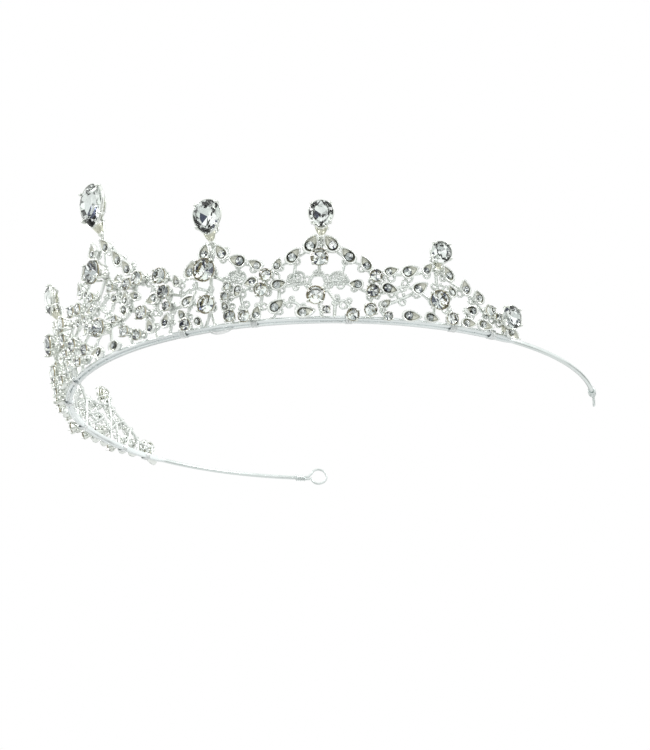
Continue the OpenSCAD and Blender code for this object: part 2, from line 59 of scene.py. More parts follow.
# leaf outline: power and width factor of drop(), and height of the cup
LEAF_H, LEAF_P, LEAF_K = 1.8, 0.7, 0.8214
PETAL_P, PETAL_K = 1, 0.77
PRONG_TURNS = (58, 138, 222, 302)
CENTRE_TOP = 37.9  # height of the middle of the centre stone
FRONT_REACH = 5.2  # from the leaning panel to the front of the centre stone
TAN = math.tan(math.radians(LEAN))
REACH = HALF_TAIL + 1.7 + EYE_R + EYE_W
LOOP_DEG = BAND_HALF - math.degrees(HALF_TAIL / BAND_R)
LOOP_RAD = math.radians(LOOP_DEG)
REAR = -BAND_R * math.cos(LOOP_RAD) + (REACH + EYE_R + EYE_W) * math.sin(LOOP_RAD) + 0.25
# moves the band's centre so that the whole tiara is centred on the origin
MID_Y = (RAIL_R + (CENTRE_TOP - RAIL_MID) * TAN + FRONT_REACH - REAR) / 2

# ---------------------------------------------------------------- where everything sits
# Every place is (degrees round the band, millimetres up the panel).
# Wires run through the places of a list.
POSTS = {
    "centre": [[(0, 1.0), (0, 7.7), (0, 10.9)], [(0, 15.1), (0, 20.9), (0, 27.8), (0, 34.8)]],
}
VINES = {
    "centre": [
        [(0, 27.8), (2.0, 26.8), (5.4, 22.4), (7.8, 19.5), (10.9, 15.5)],
        [(0, 20.9), (3.2, 15.9), (5.1, 16.8), (8.2, 15.2), (10.9, 15.5)],
        [(1.6, 13.0), (4.2, 13.4), (7.0, 12.4), (8.2, 15.2)],
        [(0, 7.7), (3.7, 7.6), (6.5, 9.4), (7.0, 12.4)],
        [(3.7, 7.6), (6.6, 3.9), (9.8, 2.2)],
        [(6.5, 9.4), (11.4, 6.9), (12.8, 3.3)],
        [(6.6, 3.9), (6.0, 1.0)],
        [(12.8, 3.3), (13.0, 1.0)],
    ],
    "first": [
        [(26.0, 1.0), (25.3, 5.2), (25.6, 13.1), (26.2, 19.2), (26.2, 23.4)],
        [(11.8, 15.4), (16.1, 14.3), (19.0, 12.6), (22.6, 14.2), (25.6, 13.1)],
        [(12.6, 12.4), (16.6, 10.5), (19.5, 9.6), (21.9, 10.6), (25.4, 9.0)],
        [(16.6, 10.5), (13.8, 9.5), (13.6, 6.6)],
        [(16.6, 10.5), (17.2, 7.1), (21.2, 7.0), (25.3, 5.2)],
        [(17.2, 7.1), (16.6, 3.8), (16.0, 1.0)],
        [(21.2, 7.0), (20.2, 4.1), (21.0, 1.0)],
        [(26.2, 19.2), (25.2, 17.6)],
        [(26.2, 19.2), (28.3, 17.1), (31.3, 14.8), (34.5, 13.5), (36.4, 10.7)],
        [(25.6, 13.1), (28.6, 10.9), (30.5, 11.8), (33.6, 9.3), (35.4, 7.3)],
        [(28.6, 10.9), (29.2, 9.2), (28.8, 6.9), (28.9, 4.5), (29.6, 1.0)],
        [(29.2, 9.2), (31.0, 8.0), (33.6, 9.3)],
        [(36.4, 10.7), (35.4, 7.3), (34.9, 4.4), (34.3, 1.0)],
        [(31.3, 14.8), (30.5, 11.8)],
        [(24.0, 1.0), (25.3, 5.2)],
        [(31.0, 8.0), (31.6, 4.6), (32.4, 1.0)],
    ],
    "second": [
        [(46.2, 1.0), (45.5, 5.2), (45.5, 7.0)],
        [(45.6, 10.9), (45.9, 13.9), (46.2, 18.1), (46.2, 22.1)],
        [(46.2, 18.1), (44.6, 17.2), (41.6, 14.8), (38.5, 13.0), (37.2, 11.1)],
        [(46.2, 18.1), (47.8, 17.2), (50.5, 14.6), (53.8, 12.7), (55.6, 10.0)],
        [(36.3, 7.9), (38.5, 8.3), (41.4, 8.6), (43.9, 8.9)],
        [(38.5, 8.3), (38.1, 3.2), (36.8, 1.0)],
        [(38.1, 3.2), (40.5, 4.8), (42.4, 3.4), (43.6, 1.0)],
        [(41.6, 14.8), (41.2, 10.2)],
        [(47.0, 9.0), (49.4, 9.2), (52.2, 8.0), (55.2, 6.4)],
        [(50.5, 14.6), (49.6, 10.2)],
        [(46.9, 8.0), (48.6, 4.9), (50.6, 4.4), (52.0, 1.0)],
        [(55.6, 10.0), (55.2, 6.4), (54.8, 1.0)],
        [(48.6, 4.9), (48.4, 1.0)],
    ],
    "third": [
        [(67.0, 1.0), (67.0, 5.4), (67.4, 9.2), (67.0, 13.6), (67.3, 15.5)],
        [(56.4, 10.4), (58.3, 11.2), (61.8, 11.5), (65.0, 12.5), (67.0, 13.6)],
        [(56.0, 6.6), (58.4, 7.2), (61.0, 8.6), (63.8, 7.9), (67.0, 5.4)],
        [(58.0, 1.0), (57.0, 3.4), (60.5, 5.6), (63.8, 7.9)],
        [(67.0, 13.6), (68.8, 12.1), (72.2, 9.6), (74.9, 7.9), (77.4, 5.2), (79.6, 4.4)],
        [(67.0, 5.4), (69.4, 8.0), (72.2, 9.6)],
        [(69.4, 8.0), (69.9, 4.4), (69.8, 1.0)],
        [(74.9, 7.9), (73.9, 4.5), (72.6, 1.0)],
        [(77.4, 5.2), (76.9, 1.0)],
    ],
    "fourth": [[(82.0, 1.0), (82.0, 4.4)], [(80.6, 4.2), (82.0, 4.4)], [(82.0, 1.0), (83.6, 1.0)]],
}
# rings of wire: place, radius
RINGS = {"centre": [(0, 13.0, 2.0)], "second": [(45.5, 8.95, 1.9)]}
# lace petals: place, length, width, turn
PETALS = {
    "first": [(30.6, 11.6, 4.8, 3.4, 150)],
    "second": [(41.5, 10.0, 4.6, 3.2, 190), (49.4, 9.7, 4.6, 3.2, -10)],
}
# round stones: place, diameter
MID_ROUNDS = [(0, 20.9, 6.0), (0, 7.0, 4.8)]
ROUNDS = {
    "centre": [
        (10.9, 15.5, 3.2), (8.1, 15.0, 2.8), (3.2, 15.9, 2.0), (11.4, 7.0, 3.3),
        (6.6, 4.0, 2.8), (9.8, 2.2, 2.7), (3.7, 7.9, 1.9),
    ],
    "first": [
        (16.2, 14.4, 3.8), (16.8, 10.4, 3.3), (17.0, 7.1, 2.2), (25.7, 13.2, 5.6), (25.6, 5.3, 4.4),
        (20.9, 1.7, 2.8), (28.8, 6.9, 1.9), (29.3, 9.2, 1.7), (29.7, 2.1, 2.8), (32.4, 1.6, 2.8),
        (36.5, 10.7, 2.9), (35.6, 7.3, 3.2),
    ],
    "second": [
        (45.9, 14.0, 4.1), (45.2, 5.3, 4.3), (47.0, 2.2, 1.8), (55.6, 10.0, 2.9), (55.1, 6.5, 3.0),
        (54.7, 2.2, 3.0), (51.6, 0.95, 3.0),
    ],
    "third": [(66.9, 5.5, 4.7), (69.7, 1.8, 2.9), (77.4, 5.2, 2.6), (57.9, 1.0, 2.1), (79.5, 4.3, 1.7)],
    "fourth": [],
}
# leaf cups: place, length, width, turn
LEAVES = {
    "centre": [
        (2.0, 27.0, 4.4, 2.7, 118), (5.2, 22.6, 4.6, 2.8, 115), (7.6, 19.5, 4.2, 2.6, 112),
        (5.2, 17.4, 2.8, 1.9, 200), (4.1, 13.0, 3.6, 2.3, -20), (6.8, 12.0, 3.5, 2.3, 70),
        (6.4, 9.2, 3.3, 2.2, -60), (12.7, 3.5, 3.5, 2.3, 90), (3.0, 1.9, 4.8, 2.7, 0), (9.4, 11.9, 3.2, 2.1, 150),
    ],
    "first": [
        (13.6, 9.8, 3.8, 2.6, 190), (16.4, 3.8, 3.6, 2.3, 60), (19.2, 12.6, 2.9, 2.0, 100),
        (22.4, 14.4, 4.8, 3.1, 55), (21.3, 7.2, 4.0, 2.5, 20), (19.9, 4.4, 2.6, 1.9, 120),
        (23.3, 1.9, 3.0, 1.9, -50), (25.2, 17.9, 4.0, 2.7, 62), (28.2, 17.3, 4.0, 2.7, 122),
        (31.3, 14.9, 4.3, 3.0, 158), (34.5, 13.4, 3.6, 2.3, 145), (33.6, 9.3, 3.4, 2.3, 205),
        (31.2, 7.8, 3.2, 2.1, 250), (28.7, 4.7, 2.4, 1.8, 100), (34.6, 2.2, 3.4, 2.2, 70),
    ],
    "second": [
        (38.5, 13.1, 3.1, 2.0, 60), (38.7, 8.3, 3.8, 2.5, 0), (38.2, 3.6, 4.3, 2.8, 35),
        (41.4, 14.9, 4.5, 2.9, 48), (44.5, 17.5, 4.7, 3.2, 55), (47.9, 17.5, 4.7, 3.2, 125),
        (50.7, 14.8, 4.5, 2.9, 130), (53.8, 12.8, 3.9, 2.4, 125),
        (52.2, 8.1, 3.4, 2.3, 180), (43.3, 1.7, 4.6, 2.6, 0),
    ],
    "third": [
        (58.3, 11.4, 3.5, 2.2, 20), (58.2, 7.4, 4.0, 2.6, -20), (57.4, 4.0, 2.8, 1.9, 40),
        (61.7, 11.8, 4.3, 2.9, 20), (63.7, 8.1, 4.0, 2.7, 30),
        (64.9, 12.7, 3.2, 2.1, 60), (68.8, 12.3, 4.2, 2.4, 128), (69.6, 8.3, 3.0, 2.1, 120),
        (72.3, 9.7, 3.8, 2.5, 110), (75.1, 8.1, 3.6, 2.3, 130), (73.8, 4.6, 3.3, 2.3, 180),
        (62.2, 1.6, 4.4, 2.6, 0), (66.0, 1.5, 3.4, 2.3, -12), (73.3, 1.5, 3.6, 2.3, 0),
        (76.8, 1.7, 4.0, 2.4, -14),
    ],
    "fourth": [(83.2, 1.4, 4.0, 2.4, -32)],
}
# peak stones: place, length, width, power and width factor of the outline, how far it stands out
PEAKS = {
    "centre": (0, CENTRE_TOP, 11.0, 9.4, 0.45, 0.877, 2.6),
    "first": (26.2, 25.9, 8.2, 6.9, 0.45, 0.877, 2.4),
    "second": (46.2, 24.1, 6.6, 5.6, 0.45, 0.877, 2.0),
    "third": (67.3, 17.0, 5.0, 5.0, 0, 1.0, 1.9),
    "fourth": (82.0, 4.8, 5.4, 5.4, 0, 1.0, 2.6),
}
# where the rail is tied to the band
WRAPS = [-79.5, -70.9, -51, -33.5, -19, 19, 33.5, 51, 70.9, 79.5]


def hashed(*v):
    """A repeatable number from 0 to 1 for a spot on the tiara."""
    x = math.sin(sum((i + 1) * 12.9898 * (a + 3.17) for i, a in enumerate(v))) * 43758.5453
    return x - math.floor(x)


class Build:
    """Collects vertices, and a material slot, smoothness and painted reflection number for each face."""

    def __init__(self):
        self.v, self.f, self.m, self.s, self.a, self.mirror = [], [], [], [], [], False

    def add(self, verts, faces, mat=0, smooth=True, painted_reflection=None):
        n = len(self.v)
        self.v.extend(tuple(p) for p in verts)
        for i, f in enumerate(faces):
            self.f.append([n + k for k in f])
            self.m.append(mat[i] if isinstance(mat, list) else mat)
            self.s.append(smooth[i] if isinstance(smooth, list) else smooth)
            self.a.append(painted_reflection[i] if painted_reflection else 0.5)

    def object(self, name, mats, nodes, slot):
        me = bpy.data.meshes.new(name)
        v = [((-x if self.mirror else x) * MM, (y + MID_Y) * MM, z * MM) for x, y, z in self.v]
        f = [list(reversed(q)) for q in self.f] if self.mirror else self.f
        me.from_pydata(v, [], f)
        for m in mats:
            me.materials.append(m)
        me.polygons.foreach_set("material_index", self.m)
        me.polygons.foreach_set("use_smooth", self.s)
        # each face's painted reflection number: how light or dark its facet is painted, as if it reflected light or
        # shade
        att = me.attributes.new("facet_painted_reflection", "FLOAT", "FACE")
        att.data.foreach_set("value", self.a)
        me.update()
        ob = bpy.data.objects.new(name, me)
        bpy.context.scene.collection.objects.link(ob)
        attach(ob, "root")
        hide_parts(*nodes)


def panel_r(z):
    """How far the leaning panel is from the band's axis at a height."""
    return RAIL_R + (z - RAIL_MID) * TAN


def arc(t, r, z):
    """A point at an angle round the band, a radius and a height."""
    a = math.radians(t)
    return Vector((r * math.sin(a), -r * math.cos(a), z))


def spot(t, z):
    """The point on the panel at a place."""
    return arc(t, panel_r(z), z + BASE_Z)


def place(t, z, out=0.0, turn=0.0, tilt=(0.0, 0.0)):
    """Local X along the band, Y up the panel, Z out of it."""
    return (
        Matrix.Rotation(math.radians(t), 4, "Z")
        @ Matrix.Translation((0, -panel_r(z), z + BASE_Z))
        @ Matrix.Rotation(math.radians(90 + LEAN), 4, "X")
        @ Matrix.Translation((0, 0, out))
        @ Matrix.Rotation(math.radians(turn), 4, "Z")
        @ Matrix.Rotation(math.radians(tilt[0]), 4, "X")
        @ Matrix.Rotation(math.radians(tilt[1]), 4, "Y")
    )


def drop(l, w, p, k, n):
    """Outline with its tip at +X: p is 0 for an ellipse and 1 for a teardrop."""
    pts = []
    for i in range(n):
        a = 2 * math.pi * i / n
        s = 1.0 if p == 0 else max(math.sin(a / 2), 0.0) ** p
        pts.append((l / 2 * math.cos(a), w / 2 / k * math.sin(a) * s))
    return pts


def skin(b, rings, mat, smooth=True, cap_start=True, closed=False):
    """Joins equal rings of points into a skin. mat is one slot, or one for each ring."""
    n, k = len(rings[0]), len(rings)
    verts = [p for r in rings for p in r]
    faces, mats = [], []
    for j in range(k if closed else k - 1):
        for i in range(n):
            a, c = j * n + i, j * n + (i + 1) % n
            d, e = ((j + 1) % k) * n + (i + 1) % n, ((j + 1) % k) * n + i
            faces.append((a, c, d, e))
            mats.append(mat[j] if isinstance(mat, list) else mat)
    if not closed:
        if cap_start:
            faces.append(tuple(reversed(range(n))))
            mats.append(mat[0] if isinstance(mat, list) else mat)
        faces.append(tuple((k - 1) * n + i for i in range(n)))
        mats.append(mat[-1] if isinstance(mat, list) else mat)
    b.add(verts, faces, mats, smooth)


def tube(b, pts, radii, sides=8, mat=0, closed=False):
    """A round wire along points, with its section carried smoothly along."""
    n = len(pts)
    if not isinstance(radii, (list, tuple)):
        radii = [radii] * n
    rings, ref = [], None
    for i in range(n):
        if closed:
            d = pts[(i + 1) % n] - pts[i - 1]
        else:
            d = pts[min(i + 1, n - 1)] - pts[max(i - 1, 0)]
        d.normalize()
        if ref is None:
            ref = Vector((0, 0, 1)) if abs(d.z) < 0.9 else Vector((1, 0, 0))
        u = (ref - d * ref.dot(d)).normalized()
        ref = u
        w = d.cross(u)
        rings.append([
            pts[i] + (u * math.cos(2 * math.pi * k / sides) + w * math.sin(2 * math.pi * k / sides)) * radii[i]
            for k in range(sides)
        ])
    skin(b, rings, mat, closed=closed)


def ball(b, c, r, seg=8, rings=5):
    """A small sphere."""
    z = Vector((0, 0, 1))
    x = z.orthogonal().normalized()
    y = z.cross(x)
    rows = []
    for j in range(1, rings):
        p = math.pi * j / rings
        rows.append([
            c + (x * math.cos(2 * math.pi * i / seg) + y * math.sin(2 * math.pi * i / seg)) * r * math.sin(p)
            - z * math.cos(p) * r
            for i in range(seg)
        ])
    verts = [p for q in rows for p in q] + [c - z * r, c + z * r]
    lo, hi, m = len(verts) - 2, len(verts) - 1, len(rows)
    faces = [(lo, (i + 1) % seg, i) for i in range(seg)]
    for j in range(m - 1):
        here, above = j * seg, (j + 1) * seg
        faces += [(here + i, here + (i + 1) % seg, above + (i + 1) % seg, above + i) for i in range(seg)]
    faces += [((m - 1) * seg + i, (m - 1) * seg + (i + 1) % seg, hi) for i in range(seg)]
    b.add(verts, faces)


def circle(r, n):
    """Corners of a circle in the plane."""
    return [(r * math.cos(2 * math.pi * i / n), r * math.sin(2 * math.pi * i / n)) for i in range(n)]


def spline(pts, steps):
    """Catmull-Rom points through (angle, height) pairs."""
    out = []
    for i in range(len(pts) - 1):
        p0, p1, p2, p3 = pts[max(i - 1, 0)], pts[i], pts[i + 1], pts[min(i + 2, len(pts) - 1)]
        for s in range(steps):
            t = s / steps
            out.append(tuple(
                0.5 * (2 * p1[k] + (p2[k] - p0[k]) * t + (2 * p0[k] - 5 * p1[k] + 4 * p2[k] - p3[k]) * t * t
                       + (3 * p1[k] - p0[k] - 3 * p2[k] + p3[k]) * t ** 3)
                for k in range(2)
            ))
    return out + [tuple(pts[-1])]


# ---------------------------------------------------------------- materials
def new_material(name):
    m = bpy.data.materials.new(name)
    m.use_nodes = True
    nt = m.node_tree
    return m, nt, nt.nodes["Principled BSDF"]


def noise(nt, scale):
    """Noise in object space, which every surface takes its drift of colour from."""
    tc = nt.nodes.new("ShaderNodeTexCoord")
    n = nt.nodes.new("ShaderNodeTexNoise")
    n.inputs["Scale"].default_value = scale
    n.inputs["Detail"].default_value = 3.0
    nt.links.new(tc.outputs["Object"], n.inputs["Vector"])
    return n


def ramp(nt, source, stops):
    """A colour ramp on a number, with stops of (position, colour)."""
    r = nt.nodes.new("ShaderNodeValToRGB")
    e = r.color_ramp.elements
    while len(e) < len(stops):
        e.new(0.5)
    for el, (pos, col) in zip(e, stops):
        el.position = pos
        el.color = (*col, 1)
    nt.links.new(source, r.inputs["Fac"])
    return r


def silver(name, light, dark, rough, scale=900.0):
    """Silver plate: colour and gloss drift a little over the surface."""
    m, nt, p = new_material(name)
    n = noise(nt, scale)
    c = ramp(nt, n.outputs["Fac"], [(0.3, dark), (0.65, light)])
    nt.links.new(c.outputs["Color"], p.inputs["Base Color"])
    r = nt.nodes.new("ShaderNodeMapRange")
    r.inputs["From Min"].default_value, r.inputs["From Max"].default_value = 0.3, 0.7
    r.inputs["To Min"].default_value, r.inputs["To Max"].default_value = rough * 0.7, rough * 1.4
    nt.links.new(n.outputs["Fac"], r.inputs["Value"])
    nt.links.new(r.outputs["Result"], p.inputs["Roughness"])
    p.inputs["Metallic"].default_value = 1.0
    return m


def facets(nt):
    """The painted reflection number that each face of a stone carries."""
    a = nt.nodes.new("ShaderNodeAttribute")
    a.attribute_name = "facet_painted_reflection"
    return a.outputs["Fac"]


def crystal(name, tint):
    """Clear glass top of a stone, each crown facet tinted a little lighter or darker by its painted reflection
    number.
    """
    m, nt, p = new_material(name)
    c = ramp(nt, facets(nt), [(0.0, (0.90, 0.93, 0.97)), (0.5, tint), (1.0, (1.0, 1.0, 1.0))])
    nt.links.new(c.outputs["Color"], p.inputs["Base Color"])
    p.inputs["Roughness"].default_value = 0.0
    p.inputs["IOR"].default_value = 1.56
    p.inputs["Transmission Weight"].default_value = 1.0
    return m


def foil(name):
    """Mirror foil on the back of a stone, each facet painted its own grey from black to white, as painted reflection
    of a dark room or bright light.
    """
    m, nt, p = new_material(name)
    c = ramp(nt, facets(nt), [
        (0.00, (0.03, 0.035, 0.07)), (0.10, (0.08, 0.09, 0.13)), (0.16, (0.38, 0.40, 0.41)),
        (0.35, (0.60, 0.63, 0.62)), (0.55, (0.84, 0.87, 0.84)), (0.75, (0.96, 0.98, 0.95)),
        (1.00, (1.0, 1.0, 1.0)),
    ])
    nt.links.new(c.outputs["Color"], p.inputs["Base Color"])
    p.inputs["Metallic"].default_value = 1.0
    p.inputs["Roughness"].default_value = 0.04
    return m


M_BAND = silver("band_silver", (0.86, 0.89, 0.895), (0.80, 0.835, 0.84), 0.26, 300)
M_END = silver("end_wire_silver", (0.78, 0.815, 0.81), (0.70, 0.74, 0.73), 0.24, 400)
M_WIRE = silver("binding_silver", (0.88, 0.89, 0.89), (0.76, 0.78, 0.78), 0.2, 700)
M_SCROLL = silver("scroll_silver", (0.87, 0.885, 0.865), (0.74, 0.77, 0.745), 0.2, 800)
M_CUP = silver("cup_silver", (0.87, 0.88, 0.85), (0.73, 0.75, 0.70), 0.13, 700)
M_LEAF = silver("leaf_silver", (0.90, 0.91, 0.89), (0.78, 0.80, 0.765), 0.17, 800)
# the leaf's hollow is a darker khaki-grey: painted shade in the recess
M_HOLLOW_PAINTED_SHADE = silver("leaf_hollow_painted_shade", (0.74, 0.74, 0.66), (0.50, 0.51, 0.44), 0.34, 1100)
M_LACQUER = silver("stone_back_lacquer", (0.50, 0.44, 0.27), (0.34, 0.29, 0.17), 0.30, 900)
M_NECK = silver("neck_silver", (0.76, 0.755, 0.65), (0.56, 0.56, 0.46), 0.22, 900)
M_CRYSTAL = crystal("crystal_top", (0.97, 0.985, 1.0))
M_FOIL_PAINTED_REFLECTION = foil("crystal_foil_painted_reflection")


# ---------------------------------------------------------------- pieces
PAINTED_DARK_FACET_SHARE = 0.10  # share of a small stone's back facets painted black, as painted dark reflection


def gem(b, mat, d, fold, table, crown, depth, seed):
    """A round cut stone of diameter d on its girdle at local Z = 0."""

    def up(a, s, z):
        return mat @ Vector((d / 2 * s * math.cos(a), d / 2 * s * math.sin(a), z))

    step = 2 * math.pi / fold
    T = [up(k * step, table, crown) for k in range(fold)]
    G = [up(j * step / 2, 1.0, 0.0) for j in range(2 * fold)]
    H = [up(j * step / 2, 1.0, -0.07 * depth) for j in range(2 * fold)]
    verts = T + G + H + [up(0, 0.0, -depth)]
    g, h, c, n2 = fold, 3 * fold, 5 * fold, 2 * fold
    faces, mats, painted_reflection = [tuple(range(fold))], [0], [0.6]
    for k in range(fold):
        n = (k + 1) % fold
        faces += [(k, g + 2 * k, g + 2 * k + 1, n), (n, g + 2 * k + 1, g + (2 * k + 2) % n2)]
        mats += [0, 0]
        # crown facets get random painted reflection numbers
        painted_reflection += [0.3 + 0.7 * hashed(seed, k), 0.3 + 0.7 * hashed(seed, k + 20)]
    for j in range(n2):
        q = (j + 1) % n2
        faces += [(g + j, h + j, h + q, g + q), (c, h + q, h + j)]
        mats += [0, 1]
        # back facets are painted black, mid grey or bright: painted reflection of a dark room or of bright light
        pair = hashed(seed, j // 2, 7)
        own = hashed(seed, j, 9)
        v = 0.04 if own < PAINTED_DARK_FACET_SHARE else (0.26 if pair < 0.28 else 0.55 + 0.45 * own)
        painted_reflection += [0.5, v]
    b.add(verts, faces, mats, False, painted_reflection)


def big_gem(b, mat, outline, table, crown, depth, outer, inner):
    """A large stone with a two-tier back: ten outer facets and five inner ones, each painted its own tone of grey as
    painted reflection.

    outline(angle, scale) gives its plan.
    """

    def up(a, s, z):
        return mat @ Vector((*outline(a, s), z))

    n = len(outer)
    st = 2 * math.pi / n
    T = [up(k * st, table, crown) for k in range(n)]
    G = [up(j * st / 2, 1.0, 0.0) for j in range(2 * n)]
    H = [up(j * st / 2, 1.0, -0.08 * depth) for j in range(2 * n)]
    L = [up((k + 0.5) * st, 0.56, -0.66 * depth) for k in range(n)]
    verts = T + G + H + L + [up(math.pi, 0.06, -depth)]
    g, h, l, c = n, 3 * n, 5 * n, 6 * n
    faces, mats, painted_reflection = [tuple(range(n))], [0], [0.6]
    for k in range(n):
        m = (k + 1) % n
        faces += [(k, g + 2 * k, g + 2 * k + 1, m), (m, g + 2 * k + 1, g + (2 * k + 2) % (2 * n))]
        faces += [(l + k, h + 2 * k + 1, h + 2 * k), (l + k, h + (2 * k + 2) % (2 * n), h + 2 * k + 1)]
        faces += [(l + k, h + 2 * k, l + (k - 1) % n)]
        mats += [0, 0, 1, 1, 1]
        # crown facets get painted brightness that steps round the stone; back facets take their painted reflection
        # tones
        painted_reflection += [0.5 + 0.04 * k, 0.9 - 0.04 * k, outer[k], outer[k], outer[k]]
        faces.append((c, l + m, l + k))
        mats.append(1)
        painted_reflection.append(inner[k * len(inner) // n])
    for j in range(2 * n):
        q = (j + 1) % (2 * n)
        faces.append((g + j, h + j, h + q, g + q))
        mats.append(0)
        painted_reflection.append(0.5)
    b.add(verts, faces, mats, False, painted_reflection)


def cup_h(d):
    """Height of the cup for a round stone."""
    return 0.45 * d + 1.3


def round_gem(b, t, z, d, out):
    """A round stone, a little out of true as set by hand."""
    seed = t * 3.1 + z
    tilt = ((hashed(seed, 1) - 0.5) * 9, (hashed(seed, 2) - 0.5) * 9)
    mat = place(t, z, out, turn=hashed(seed, 3) * 45, tilt=tilt)
    gem(b, mat, d, 8, 0.60, 0.15 * d, 0.36 * d, seed)


def leaf_gem(b, t, z, l, w, turn):
    """The small stone on a leaf's floor."""
    d = min(1.9, w * 0.66)
    mat = place(t, z, SEAT + LEAF_H - 0.18, turn=turn) @ Matrix.Translation((-l * 0.12, 0, 0))
    gem(b, mat, d, 6, 0.56, 0.13 * d, 0.3, t + z)


def stone_cup(b, t, z, d):
    """Round cup with an inner seat, the stone's lacquered back above its wall, and four folded prongs."""
    h = cup_h(d)
    r = d / 2
    mat = place(t, z, SEAT)
    prof = [
        (0.50 * r, 0.0), (0.36 * r, 0.16 * h), (0.34 * r, 0.45 * h), (0.62 * r, 0.66 * h),
        (0.96 * r, h - 0.52), (r + 0.02, h - 0.46), (r + 0.02, h - 0.36), (r * 0.97 - 0.02, h - 0.33),
        (r * 0.97, h - 0.05), (r * 0.93, h - 0.06), (0.35 * r, h - 0.37 * d),
    ]
    rings = [[mat @ Vector((x, q, y)) for x, q in circle(radius, 20)] for radius, y in prof]
    skin(b, rings, [0] * 7 + [1] * 3)
    pr = 0.15 + 0.03 * d
    off = 45 + (hashed(t, z, 5) - 0.5) * 24
    for k in range(4):
        a = math.radians(off + 90 * k)
        u = Vector((math.cos(a), math.sin(a), 0))
        path = [
            (0.62 * r, 0.1), (0.72 * r + 0.05, 0.45 * h), (r + 0.12, h - 0.4), (r + 0.20, h + 0.02 * d),
            (r + 0.12, h + 0.09 * d + pr * 0.6), (r - 0.08 * r, h + 0.10 * d + pr * 0.8),
        ]
        pts = [mat @ (u * q + Vector((0, 0, y))) for q, y in path]
        tube(b, pts, [pr * 0.7, pr * 0.85, pr, pr, pr * 0.95, pr * 0.6], 6)
        ball(b, mat @ (u * (r + 0.03) + Vector((0, 0, h + 0.09 * d + pr * 0.7))), pr * 1.12, seg=8, rings=5)


def leaf_cup(b, t, z, l, w, turn):
    """Drop-shaped cup: domed back, wide raised rim, hollow floor, tip curled outward."""
    n = 24
    bend = (0.10 if hashed(t, z) > 0.5 else -0.10) * w / 2.4
    l, w = l * 1.05, w * 1.06
    mat = place(t, z, SEAT, turn=turn, tilt=((hashed(t, z, 1) - 0.5) * 10, (hashed(t, z, 2) - 0.5) * 8))
    curl = 1.5 * min(1.0, l / 4.0)
    prof = (
        (0.50, 0.0), (0.74, 0.30), (0.93, 0.85), (1.01, 1.35), (1.02, 1.62),
        (0.96, 1.80), (0.84, 1.80), (0.76, 1.66), (0.72, 1.38), (0.40, 1.30),
    )
    rings = []
    for s, y in prof:
        row = []
        for x, q in drop(l * s, w * s - (1 - s) * 0.1, LEAF_P, LEAF_K, n):
            u = max(0.0, x / l + 0.15)
            rise = curl * u * u * (0.35 + 0.65 * y / LEAF_H)
            row.append(mat @ Vector((x, q + bend * u * u * 4, y + rise)))
        rings.append(row)
    # the lower inner wall and the floor take the darker hollow metal, painted shade in the recess
    skin(b, rings, [0] * 7 + [1] * 3)
    # milgrain beads along the rim
    for x, q in drop(l * 0.96, w * 0.96, LEAF_P, LEAF_K, 18)[1:]:
        u = max(0.0, x / l + 0.15)
        ball(b, mat @ Vector((x, q + bend * u * u * 4, 1.74 + curl * u * u)), 0.13, seg=5, rings=3)


def milgrain(b, mat, pts, r):
    """A string of tiny beads along a closed outline."""
    for x, y in pts:
        ball(b, mat @ Vector((x, y, WIRE_R)), r, seg=6, rings=4)


def tendril(b, t, z, way, size, hand):
    """A small curl of wire that leaves a vine and ends in a bead."""
    mat = place(t, z)
    pts = []
    for i in range(9):
        th = way + math.pi + hand * i * 0.58
        rr = size * (1 - 0.055 * i)
        x = size * math.cos(way) + rr * math.cos(th)
        y = size * math.sin(way) + rr * math.sin(th)
        pts.append(mat @ Vector((x, y, 0.05 * i)))
    tube(b, pts, [0.34 - 0.012 * i for i in range(9)], 6)
    ball(b, pts[-1], 0.44, seg=8, rings=5)


def scrollwork(b, sec):
    """One section of wires, with its solder pads, curls, rings and petals."""
    both = list(VINES[sec])
    if sec == "centre":
        both = POSTS[sec] + both + [[(-t, z) for t, z in v] for v in VINES[sec]]
    seen = set()
    for v in both:
        path = spline(v, 5)
        pts = [spot(t, z) for t, z in path]
        r = [WIRE_R * (0.92 + 0.16 * hashed(p[0], p[1])) for p in path]
        tube(b, pts, r, 8)
        for p in v:
            if p not in seen:
                seen.add(p)
                ball(b, spot(*p), 0.56, seg=10, rings=6)
    curls = set()
    for v in both:
        for i, (t, z) in enumerate(v):
            if z < 2.0 or z > 27 or (t, z) in curls:
                continue
            curls.add((t, z))
            t2, z2 = v[i + 1] if i + 1 < len(v) else v[i - 1]
            away = math.atan2(z2 - z, (t2 - t) * 1.25)
            for hand in (1, -1):
                way = away + hand * (0.9 + 0.7 * hashed(t, z, hand))
                size = 0.62 + 0.45 * hashed(t, z, hand, 4)
                if z + 2 * size * math.sin(way) > 1.6:
                    tendril(b, t, z, way, size, -hand)
    for t, z, r in RINGS.get(sec, []):
        mat = place(t, z, 0.08)
        tube(b, [mat @ Vector((x, y, 0)) for x, y in circle(r, 32)], 0.45, 8, closed=True)
        milgrain(b, mat, circle(r, 18), 0.26)
    for t, z, l, w, turn in PETALS.get(sec, []):
        mat = place(t, z, 0.1, turn=turn)
        for s, rr in ((0.88, 0.34), (0.5, 0.22)):
            o = drop(l * s, w * s, PETAL_P, PETAL_K, 24)
            tube(b, [mat @ Vector((x, y, 0)) for x, y in o], rr, 6, closed=True)
        milgrain(b, mat, drop(l * 0.88, w * 0.88, PETAL_P, PETAL_K, 22)[1:], 0.24)
        for k in range(5):
            a = math.radians(70 + 55 * k)
            p0 = mat @ Vector((l * 0.24 * math.cos(a), w * 0.26 * math.sin(a), 0))
            p1 = mat @ Vector((l * 0.42 * math.cos(a), w * 0.44 * math.sin(a), 0))
            tube(b, [p0, (p0 + p1) / 2, p1], 0.2, 6)
